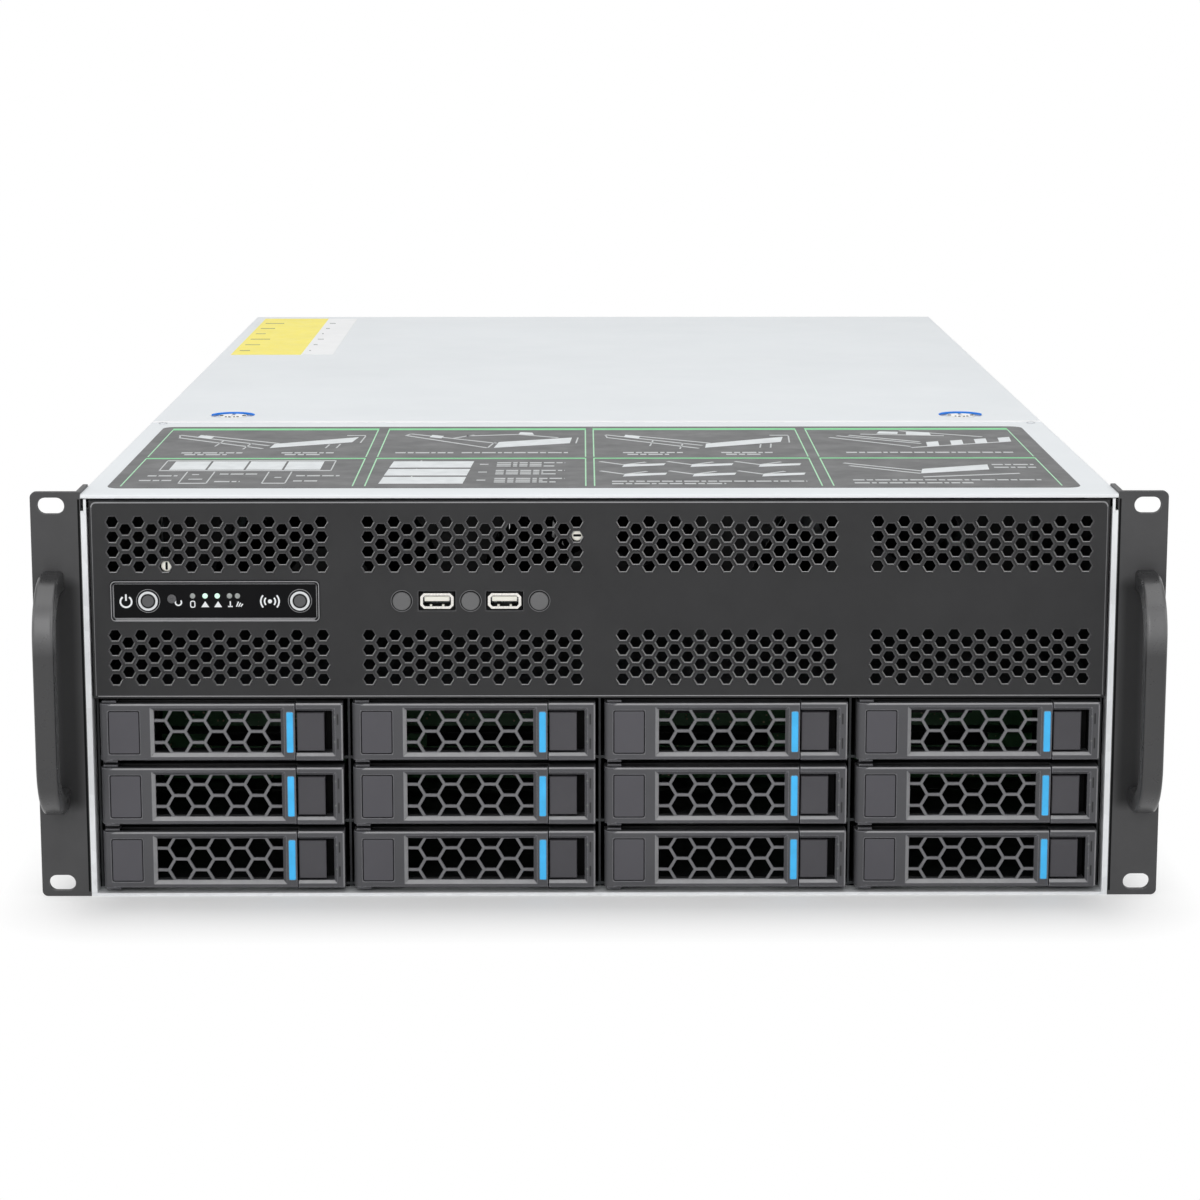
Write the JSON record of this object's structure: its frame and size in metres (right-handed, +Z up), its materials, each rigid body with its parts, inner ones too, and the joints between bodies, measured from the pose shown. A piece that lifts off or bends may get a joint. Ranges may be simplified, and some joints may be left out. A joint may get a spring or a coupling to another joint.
{
  "type": "rackmount server chassis",
  "caption": "Tall 19-inch rackmount server case with a hex-perforated bezel, hot-swap drive carriers with swing levers, pull handles on the ears, fans and slide-in power supplies.",
  "frame": {"origin": "middle of the bottom of the bounding box, on the underside of the floor sheet", "axes": "+Z up, +X to the right seen from the front, the front with the drive carriers faces -Y"},
  "size_m": [0.4826, 0.814, 0.177],
  "materials": {
    "zinc_sheet": "satin zinc-coated sheet",
    "cover_paint": "pale grey satin paint",
    "charcoal_paint": "fine-texture charcoal powder coat",
    "panel_gloss": "polished black",
    "button_grey": "satin grey",
    "port_steel": "nickel-plated shell",
    "plug_grey": "soft matt grey",
    "carrier_plastic": "moulded charcoal",
    "lever_plastic": "moulded charcoal",
    "release_plastic": "moulded mid grey",
    "board_green": "solder-masked board",
    "fan_plastic": "glass-filled black",
    "lock_steel": "turned steel",
    "supply_steel": "zinc-coated sheet"
  },
  "bodies": {
    "chassis": {"base_tray": "zinc_sheet", "rear_panel": "zinc_sheet", "front_cover": "cover_paint", "front_bezel": "charcoal_paint", "control_panel": "panel_gloss", "usb_ports": "port_steel", "blank_plugs": "plug_grey", "rack_ears": "charcoal_paint", "ear_handles": "charcoal_paint", "drive_cage": "zinc_sheet", "backplane": "board_green", "fan_wall": "fan_plastic", "system_board": "board_green", "supply_cage": "zinc_sheet"},
    "rear_cover": {"rear_cover": "cover_paint"},
    "cover_lock_left": {"cover_lock_left": "lock_steel"},
    "cover_lock_right": {"cover_lock_right": "lock_steel"},
    "power_button": {"power_button": "button_grey"},
    "locator_button": {"locator_button": "button_grey"},
    "fan_rotor_left": {"fan_rotor_left": "fan_plastic"},
    "fan_rotor_middle": {"fan_rotor_middle": "fan_plastic"},
    "fan_rotor_right": {"fan_rotor_right": "fan_plastic"},
    "power_supply_lower": {"power_supply_lower": "supply_steel"},
    "power_supply_upper": {"power_supply_upper": "supply_steel"},
    "tray_r1c1": {"drive_tray_r1c1": "carrier_plastic"},
    "lever_r1c1": {"tray_lever_r1c1": "lever_plastic"},
    "release_r1c1": {"tray_release_r1c1": "release_plastic"},
    "tray_r1c2": {"drive_tray_r1c2": "carrier_plastic"},
    "lever_r1c2": {"tray_lever_r1c2": "lever_plastic"},
    "release_r1c2": {"tray_release_r1c2": "release_plastic"},
    "tray_r1c3": {"drive_tray_r1c3": "carrier_plastic"},
    "lever_r1c3": {"tray_lever_r1c3": "lever_plastic"},
    "release_r1c3": {"tray_release_r1c3": "release_plastic"},
    "tray_r1c4": {"drive_tray_r1c4": "carrier_plastic"},
    "lever_r1c4": {"tray_lever_r1c4": "lever_plastic"},
    "release_r1c4": {"tray_release_r1c4": "release_plastic"},
    "tray_r2c1": {"drive_tray_r2c1": "carrier_plastic"},
    "lever_r2c1": {"tray_lever_r2c1": "lever_plastic"},
    "release_r2c1": {"tray_release_r2c1": "release_plastic"},
    "tray_r2c2": {"drive_tray_r2c2": "carrier_plastic"},
    "lever_r2c2": {"tray_lever_r2c2": "lever_plastic"},
    "release_r2c2": {"tray_release_r2c2": "release_plastic"},
    "tray_r2c3": {"drive_tray_r2c3": "carrier_plastic"},
    "lever_r2c3": {"tray_lever_r2c3": "lever_plastic"},
    "release_r2c3": {"tray_release_r2c3": "release_plastic"},
    "tray_r2c4": {"drive_tray_r2c4": "carrier_plastic"},
    "lever_r2c4": {"tray_lever_r2c4": "lever_plastic"},
    "release_r2c4": {"tray_release_r2c4": "release_plastic"},
    "tray_r3c1": {"drive_tray_r3c1": "carrier_plastic"},
    "lever_r3c1": {"tray_lever_r3c1": "lever_plastic"},
    "release_r3c1": {"tray_release_r3c1": "release_plastic"},
    "tray_r3c2": {"drive_tray_r3c2": "carrier_plastic"},
    "lever_r3c2": {"tray_lever_r3c2": "lever_plastic"},
    "release_r3c2": {"tray_release_r3c2": "release_plastic"},
    "tray_r3c3": {"drive_tray_r3c3": "carrier_plastic"},
    "lever_r3c3": {"tray_lever_r3c3": "lever_plastic"},
    "release_r3c3": {"tray_release_r3c3": "release_plastic"},
    "tray_r3c4": {"drive_tray_r3c4": "carrier_plastic"},
    "lever_r3c4": {"tray_lever_r3c4": "lever_plastic"},
    "release_r3c4": {"tray_release_r3c4": "release_plastic"}
  },
  "joints": [
    {"name": "rear_cover_slide", "type": "slide", "parent": "chassis", "child": "rear_cover", "axis": [0, 1, 0], "range_m": [0, 0.014]},
    {"name": "cover_lock_left_turn", "type": "hinge", "parent": "rear_cover", "child": "cover_lock_left", "pos_m": [-0.183, -0.115, 0.175], "axis": [0, 0, -1], "range_deg": [0, 90]},
    {"name": "cover_lock_right_turn", "type": "hinge", "parent": "rear_cover", "child": "cover_lock_right", "pos_m": [0.183, -0.115, 0.175], "axis": [0, 0, 1], "range_deg": [0, 90]},
    {"name": "power_button_press", "type": "slide", "parent": "chassis", "child": "power_button", "axis": [0, 1, 0], "range_m": [0, 0.0012], "stiffness_N_per_m": 800},
    {"name": "locator_button_press", "type": "slide", "parent": "chassis", "child": "locator_button", "axis": [0, 1, 0], "range_m": [0, 0.0012], "stiffness_N_per_m": 800},
    {"name": "fan_rotor_left_spin", "type": "hinge", "parent": "chassis", "child": "fan_rotor_left", "pos_m": [-0.135, -0.109, 0.088], "axis": [0, 1, 0], "continuous": true},
    {"name": "fan_rotor_middle_spin", "type": "hinge", "parent": "chassis", "child": "fan_rotor_middle", "pos_m": [0, -0.109, 0.088], "axis": [0, 1, 0], "continuous": true},
    {"name": "fan_rotor_right_spin", "type": "hinge", "parent": "chassis", "child": "fan_rotor_right", "pos_m": [0.135, -0.109, 0.088], "axis": [0, 1, 0], "continuous": true},
    {"name": "power_supply_lower_slide", "type": "slide", "parent": "chassis", "child": "power_supply_lower", "axis": [0, 1, 0], "range_m": [0, 0.18]},
    {"name": "power_supply_upper_slide", "type": "slide", "parent": "chassis", "child": "power_supply_upper", "axis": [0, 1, 0], "range_m": [0, 0.18]},
    {"name": "tray_r1c1_slide", "type": "slide", "parent": "chassis", "child": "tray_r1c1", "axis": [0, -1, 0], "range_m": [0, 0.175]},
    {"name": "lever_r1c1_swing", "type": "hinge", "parent": "tray_r1c1", "child": "lever_r1c1", "pos_m": [-0.2112, -0.3714, 0.0726], "axis": [0, 0, -1], "range_deg": [0, 62]},
    {"name": "release_r1c1_push", "type": "slide", "parent": "tray_r1c1", "child": "release_r1c1", "axis": [1, 0, 0], "range_m": [0, 0.003], "stiffness_N_per_m": 400},
    {"name": "tray_r1c2_slide", "type": "slide", "parent": "chassis", "child": "tray_r1c2", "axis": [0, -1, 0], "range_m": [0, 0.175]},
    {"name": "lever_r1c2_swing", "type": "hinge", "parent": "tray_r1c2", "child": "lever_r1c2", "pos_m": [-0.1028, -0.3714, 0.0726], "axis": [0, 0, -1], "range_deg": [0, 62]},
    {"name": "release_r1c2_push", "type": "slide", "parent": "tray_r1c2", "child": "release_r1c2", "axis": [1, 0, 0], "range_m": [0, 0.003], "stiffness_N_per_m": 400},
    {"name": "tray_r1c3_slide", "type": "slide", "parent": "chassis", "child": "tray_r1c3", "axis": [0, -1, 0], "range_m": [0, 0.175]},
    {"name": "lever_r1c3_swing", "type": "hinge", "parent": "tray_r1c3", "child": "lever_r1c3", "pos_m": [0.0056, -0.3714, 0.0726], "axis": [0, 0, -1], "range_deg": [0, 62]},
    {"name": "release_r1c3_push", "type": "slide", "parent": "tray_r1c3", "child": "release_r1c3", "axis": [1, 0, 0], "range_m": [0, 0.003], "stiffness_N_per_m": 400},
    {"name": "tray_r1c4_slide", "type": "slide", "parent": "chassis", "child": "tray_r1c4", "axis": [0, -1, 0], "range_m": [0, 0.175]},
    {"name": "lever_r1c4_swing", "type": "hinge", "parent": "tray_r1c4", "child": "lever_r1c4", "pos_m": [0.114, -0.3714, 0.0726], "axis": [0, 0, -1], "range_deg": [0, 62]},
    {"name": "release_r1c4_push", "type": "slide", "parent": "tray_r1c4", "child": "release_r1c4", "axis": [1, 0, 0], "range_m": [0, 0.003], "stiffness_N_per_m": 400},
    {"name": "tray_r2c1_slide", "type": "slide", "parent": "chassis", "child": "tray_r2c1", "axis": [0, -1, 0], "range_m": [0, 0.175]},
    {"name": "lever_r2c1_swing", "type": "hinge", "parent": "tray_r2c1", "child": "lever_r2c1", "pos_m": [-0.2112, -0.3714, 0.0443], "axis": [0, 0, -1], "range_deg": [0, 62]},
    {"name": "release_r2c1_push", "type": "slide", "parent": "tray_r2c1", "child": "release_r2c1", "axis": [1, 0, 0], "range_m": [0, 0.003], "stiffness_N_per_m": 400},
    {"name": "tray_r2c2_slide", "type": "slide", "parent": "chassis", "child": "tray_r2c2", "axis": [0, -1, 0], "range_m": [0, 0.175]},
    {"name": "lever_r2c2_swing", "type": "hinge", "parent": "tray_r2c2", "child": "lever_r2c2", "pos_m": [-0.1028, -0.3714, 0.0443], "axis": [0, 0, -1], "range_deg": [0, 62]},
    {"name": "release_r2c2_push", "type": "slide", "parent": "tray_r2c2", "child": "release_r2c2", "axis": [1, 0, 0], "range_m": [0, 0.003], "stiffness_N_per_m": 400},
    {"name": "tray_r2c3_slide", "type": "slide", "parent": "chassis", "child": "tray_r2c3", "axis": [0, -1, 0], "range_m": [0, 0.175]},
    {"name": "lever_r2c3_swing", "type": "hinge", "parent": "tray_r2c3", "child": "lever_r2c3", "pos_m": [0.0056, -0.3714, 0.0443], "axis": [0, 0, -1], "range_deg": [0, 62]},
    {"name": "release_r2c3_push", "type": "slide", "parent": "tray_r2c3", "child": "release_r2c3", "axis": [1, 0, 0], "range_m": [0, 0.003], "stiffness_N_per_m": 400},
    {"name": "tray_r2c4_slide", "type": "slide", "parent": "chassis", "child": "tray_r2c4", "axis": [0, -1, 0], "range_m": [0, 0.175]},
    {"name": "lever_r2c4_swing", "type": "hinge", "parent": "tray_r2c4", "child": "lever_r2c4", "pos_m": [0.114, -0.3714, 0.0443], "axis": [0, 0, -1], "range_deg": [0, 62]},
    {"name": "release_r2c4_push", "type": "slide", "parent": "tray_r2c4", "child": "release_r2c4", "axis": [1, 0, 0], "range_m": [0, 0.003], "stiffness_N_per_m": 400},
    {"name": "tray_r3c1_slide", "type": "slide", "parent": "chassis", "child": "tray_r3c1", "axis": [0, -1, 0], "range_m": [0, 0.175]},
    {"name": "lever_r3c1_swing", "type": "hinge", "parent": "tray_r3c1", "child": "lever_r3c1", "pos_m": [-0.2112, -0.3714, 0.016], "axis": [0, 0, -1], "range_deg": [0, 62]},
    {"name": "release_r3c1_push", "type": "slide", "parent": "tray_r3c1", "child": "release_r3c1", "axis": [1, 0, 0], "range_m": [0, 0.003], "stiffness_N_per_m": 400},
    {"name": "tray_r3c2_slide", "type": "slide", "parent": "chassis", "child": "tray_r3c2", "axis": [0, -1, 0], "range_m": [0, 0.175]},
    {"name": "lever_r3c2_swing", "type": "hinge", "parent": "tray_r3c2", "child": "lever_r3c2", "pos_m": [-0.1028, -0.3714, 0.016], "axis": [0, 0, -1], "range_deg": [0, 62]},
    {"name": "release_r3c2_push", "type": "slide", "parent": "tray_r3c2", "child": "release_r3c2", "axis": [1, 0, 0], "range_m": [0, 0.003], "stiffness_N_per_m": 400},
    {"name": "tray_r3c3_slide", "type": "slide", "parent": "chassis", "child": "tray_r3c3", "axis": [0, -1, 0], "range_m": [0, 0.175]},
    {"name": "lever_r3c3_swing", "type": "hinge", "parent": "tray_r3c3", "child": "lever_r3c3", "pos_m": [0.0056, -0.3714, 0.016], "axis": [0, 0, -1], "range_deg": [0, 62]},
    {"name": "release_r3c3_push", "type": "slide", "parent": "tray_r3c3", "child": "release_r3c3", "axis": [1, 0, 0], "range_m": [0, 0.003], "stiffness_N_per_m": 400},
    {"name": "tray_r3c4_slide", "type": "slide", "parent": "chassis", "child": "tray_r3c4", "axis": [0, -1, 0], "range_m": [0, 0.175]},
    {"name": "lever_r3c4_swing", "type": "hinge", "parent": "tray_r3c4", "child": "lever_r3c4", "pos_m": [0.114, -0.3714, 0.016], "axis": [0, 0, -1], "range_deg": [0, 62]},
    {"name": "release_r3c4_push", "type": "slide", "parent": "tray_r3c4", "child": "release_r3c4", "axis": [1, 0, 0], "range_m": [0, 0.003], "stiffness_N_per_m": 400}
  ]
}
